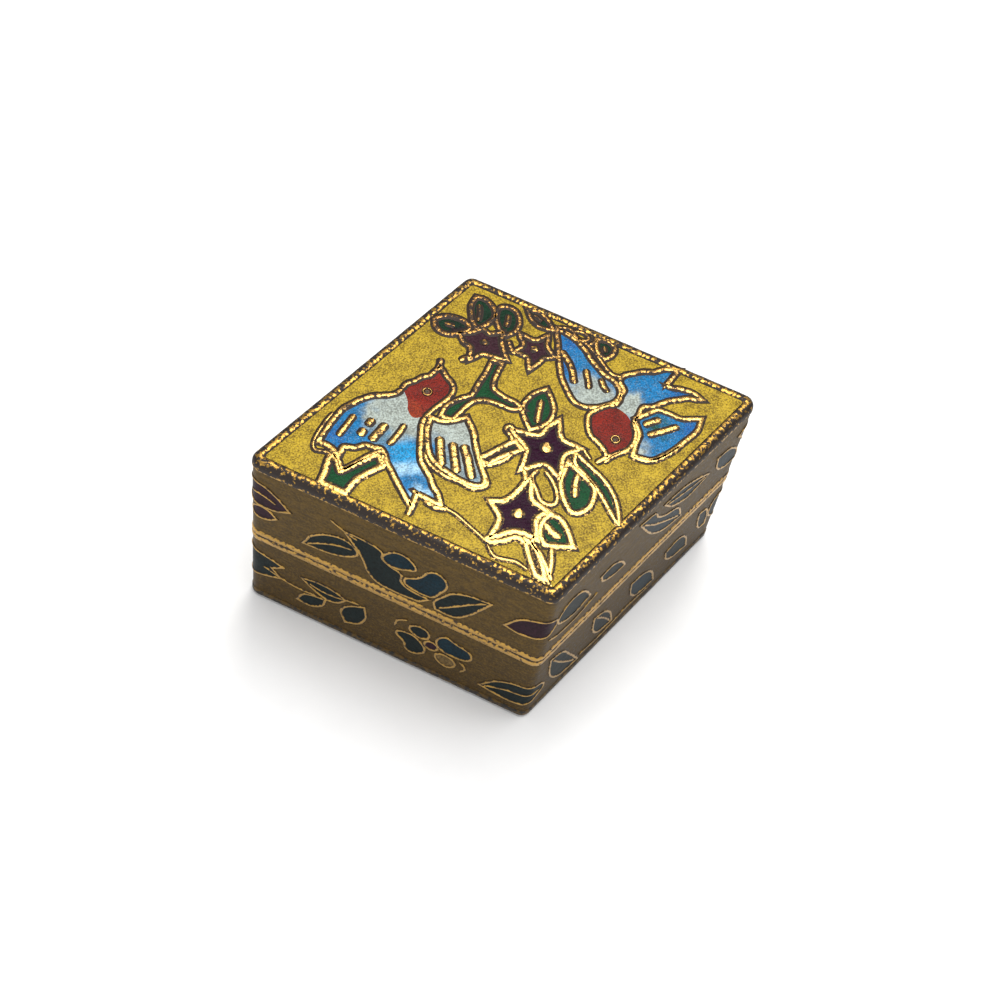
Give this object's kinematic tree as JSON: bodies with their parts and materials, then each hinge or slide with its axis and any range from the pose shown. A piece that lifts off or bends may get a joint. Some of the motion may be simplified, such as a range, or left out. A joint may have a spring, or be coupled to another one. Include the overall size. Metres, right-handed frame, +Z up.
{
  "type": "pill box",
  "caption": "Small rhombic pill box with a lift-off lid: bird and blossom enamel in gilt metal ridges, plain gilt rims and an inner collar.",
  "frame": {"origin": "centre of the footprint, on the surface the box stands on", "axes": "+X along the long diagonal of the rhombic plan, -Y towards the front corner, +Z up"},
  "size_m": [0.0496, 0.0378, 0.0241],
  "materials": {
    "gilt_brass": "worn gilding with dark pits and edges",
    "copper_body": "dull copper, hidden by enamel",
    "ochre_enamel": "grainy translucent enamel, polished",
    "brown_enamel": "brown enamel, satin",
    "red_enamel": "brick red enamel, polished",
    "blue_enamel": "blue enamel blended into pale grey, polished",
    "green_enamel": "dark green enamel, polished",
    "purple_enamel": "aubergine enamel, polished",
    "teal_enamel": "dark teal enamel, polished",
    "lining_enamel": "turquoise counter enamel, satin"
  },
  "bodies": {
    "base": {"base_back_left_large_leaf_enamel": "teal_enamel", "base_back_right_leaf_enamel": "teal_enamel", "base_bottom_enamel": "lining_enamel", "base_collar": "gilt_brass", "base_foot_rim": "gilt_brass", "base_front_left_leaf_enamel": "teal_enamel", "base_front_left_left_petal_enamel": "teal_enamel", "base_front_left_right_petal_enamel": "teal_enamel", "base_front_right_large_leaf_enamel": "teal_enamel", "base_front_right_small_leaf_enamel": "teal_enamel", "base_inside_enamel": "lining_enamel", "base_mouth_rim": "gilt_brass", "base_shell": "copper_body", "base_side_band": "gilt_brass", "base_side_ground_enamel": "brown_enamel"},
    "lid": {"lid_back_left_blossom_enamel": "purple_enamel", "lid_back_left_large_leaf_enamel": "teal_enamel", "lid_back_left_leaf_enamel": "green_enamel", "lid_back_middle_leaf_enamel": "green_enamel", "lid_back_right_blossom_enamel": "purple_enamel", "lid_back_right_branch_enamel": "teal_enamel", "lid_back_right_right_leaf_enamel": "teal_enamel", "lid_branch_enamel": "green_enamel", "lid_centre_blossom_enamel": "purple_enamel", "lid_edge_left_leaf_enamel": "green_enamel", "lid_edge_right_leaf_enamel": "green_enamel", "lid_front_blossom_enamel": "purple_enamel", "lid_front_leaf_enamel": "green_enamel", "lid_front_left_branch_enamel": "teal_enamel", "lid_front_left_left_bud_enamel": "teal_enamel", "lid_front_left_left_leaf_enamel": "teal_enamel", "lid_front_left_right_bud_enamel": "teal_enamel", "lid_front_left_right_leaf_enamel": "teal_enamel", "lid_front_right_large_leaf_enamel": "teal_enamel", "lid_front_right_small_leaf_enamel": "teal_enamel", "lid_front_right_upper_leaf_enamel": "teal_enamel", "lid_inside_enamel": "lining_enamel", "lid_left_bird_body_enamel": "blue_enamel", "lid_left_bird_head_enamel": "red_enamel", "lid_left_bird_wing_enamel": "blue_enamel", "lid_left_leaf_enamel": "green_enamel", "lid_long_leaf_enamel": "green_enamel", "lid_middle_leaf_enamel": "green_enamel", "lid_mouth_rim": "gilt_brass", "lid_right_bird_body_enamel": "blue_enamel", "lid_right_bird_head_enamel": "red_enamel", "lid_right_bird_left_wing_enamel": "blue_enamel", "lid_right_bird_right_wing_enamel": "blue_enamel", "lid_right_leaf_enamel": "green_enamel", "lid_shell": "copper_body", "lid_side_band": "gilt_brass", "lid_side_ground_enamel": "brown_enamel", "lid_stalk_enamel": "green_enamel", "lid_stem_enamel": "green_enamel", "lid_stump_enamel": "green_enamel", "lid_top_ground_enamel": "ochre_enamel", "lid_top_plate": "gilt_brass", "lid_top_rim": "gilt_brass"}
  },
  "joints": [
    {"name": "lid_lift", "type": "slide", "parent": "base", "child": "lid", "axis": [0, 0, 1], "range_m": [0, 0.03]}
  ]
}
